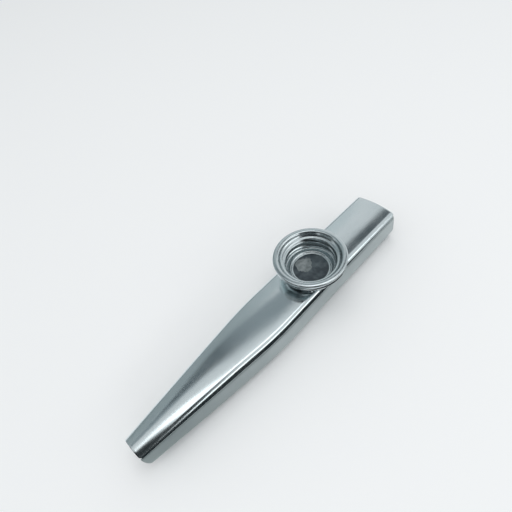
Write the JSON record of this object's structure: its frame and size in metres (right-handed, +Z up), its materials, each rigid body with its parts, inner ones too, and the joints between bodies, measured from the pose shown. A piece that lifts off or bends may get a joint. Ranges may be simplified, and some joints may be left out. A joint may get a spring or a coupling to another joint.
{
  "type": "kazoo",
  "caption": "Small metal kazoo with a tapered body of two stamped shells, and a flared cup that screws into a collar on top and clamps a thin buzzing membrane.",
  "frame": {"origin": "centre of the bounding box's bottom face, on the underside of the body", "axes": "+X along the body towards the mouth end, +Y across it, +Z up through the cup"},
  "size_m": [0.12, 0.026, 0.0207],
  "materials": {
    "body_metal": "satin polished sheet",
    "cup_metal": "bright polished sheet",
    "film": "thin crinkled film",
    "ring": "plain matt"
  },
  "bodies": {
    "shell": {"lower_shell": "body_metal", "upper_shell": "body_metal"},
    "membrane_pack": {"membrane": "film", "membrane_ring": "ring"},
    "cup": {"resonator_cup": "cup_metal"}
  },
  "joints": [
    {"name": "cup_lift", "type": "slide", "parent": "shell", "child": "membrane_pack", "axis": [0, 0, 1], "range_m": [0, 0.0036]},
    {"name": "cup_turn", "type": "hinge", "parent": "membrane_pack", "child": "cup", "pos_m": [0.0207, 0, 0.01345], "axis": [0, 0, 1], "range_deg": [0, 540]}
  ],
  "couplings": [
    {"joint": "cup_lift", "follows": "cup_turn", "m_per_rad": 0.00038197}
  ]
}
